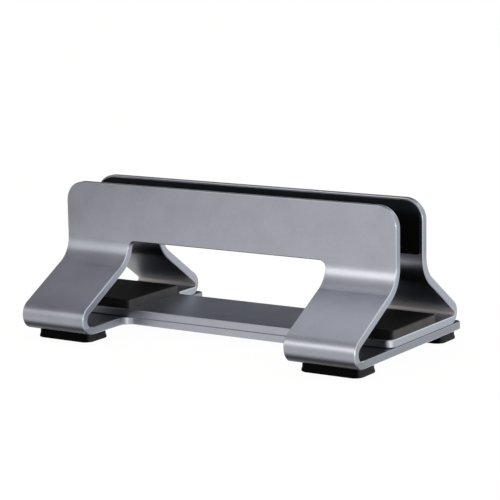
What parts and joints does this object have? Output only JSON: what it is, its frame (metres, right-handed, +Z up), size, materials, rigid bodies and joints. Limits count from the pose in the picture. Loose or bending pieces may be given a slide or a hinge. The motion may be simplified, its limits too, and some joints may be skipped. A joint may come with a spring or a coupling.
{
  "type": "vertical laptop stand",
  "caption": "Stand of two bent aluminium sheets that hold a closed laptop on edge between padded walls; the rear sheet slides on the front one to set the slot's width.",
  "frame": {"origin": "middle of the stand's length and depth, on the table", "axes": "+X along the stand to the right, +Y from the front wall to the rear wall, +Z up"},
  "size_m": [0.194, 0.1084, 0.0762],
  "materials": {
    "anodised_aluminium": "space grey anodised, fine bead-blasted satin",
    "silicone_sheet": "matt black silicone",
    "silicone_block": "matt black silicone",
    "rubber_foot": "matt black rubber",
    "black_steel": "black oxide steel"
  },
  "bodies": {
    "base": {"front_bracket": "anodised_aluminium", "front_wall_pad": "silicone_sheet", "foot_front_left": "rubber_foot", "foot_front_right": "rubber_foot", "foot_rear_left": "rubber_foot", "foot_rear_right": "rubber_foot"},
    "carriage": {"rear_bracket": "anodised_aluminium", "rear_wall_pad": "silicone_sheet", "base_pad_left": "silicone_block", "base_pad_right": "silicone_block", "clamp_screws": "black_steel", "clamp_washers": "black_steel"}
  },
  "joints": [
    {"name": "slot_width_slide", "type": "slide", "parent": "base", "child": "carriage", "axis": [0, 1, 0], "range_m": [-0.008, 0.012]}
  ]
}
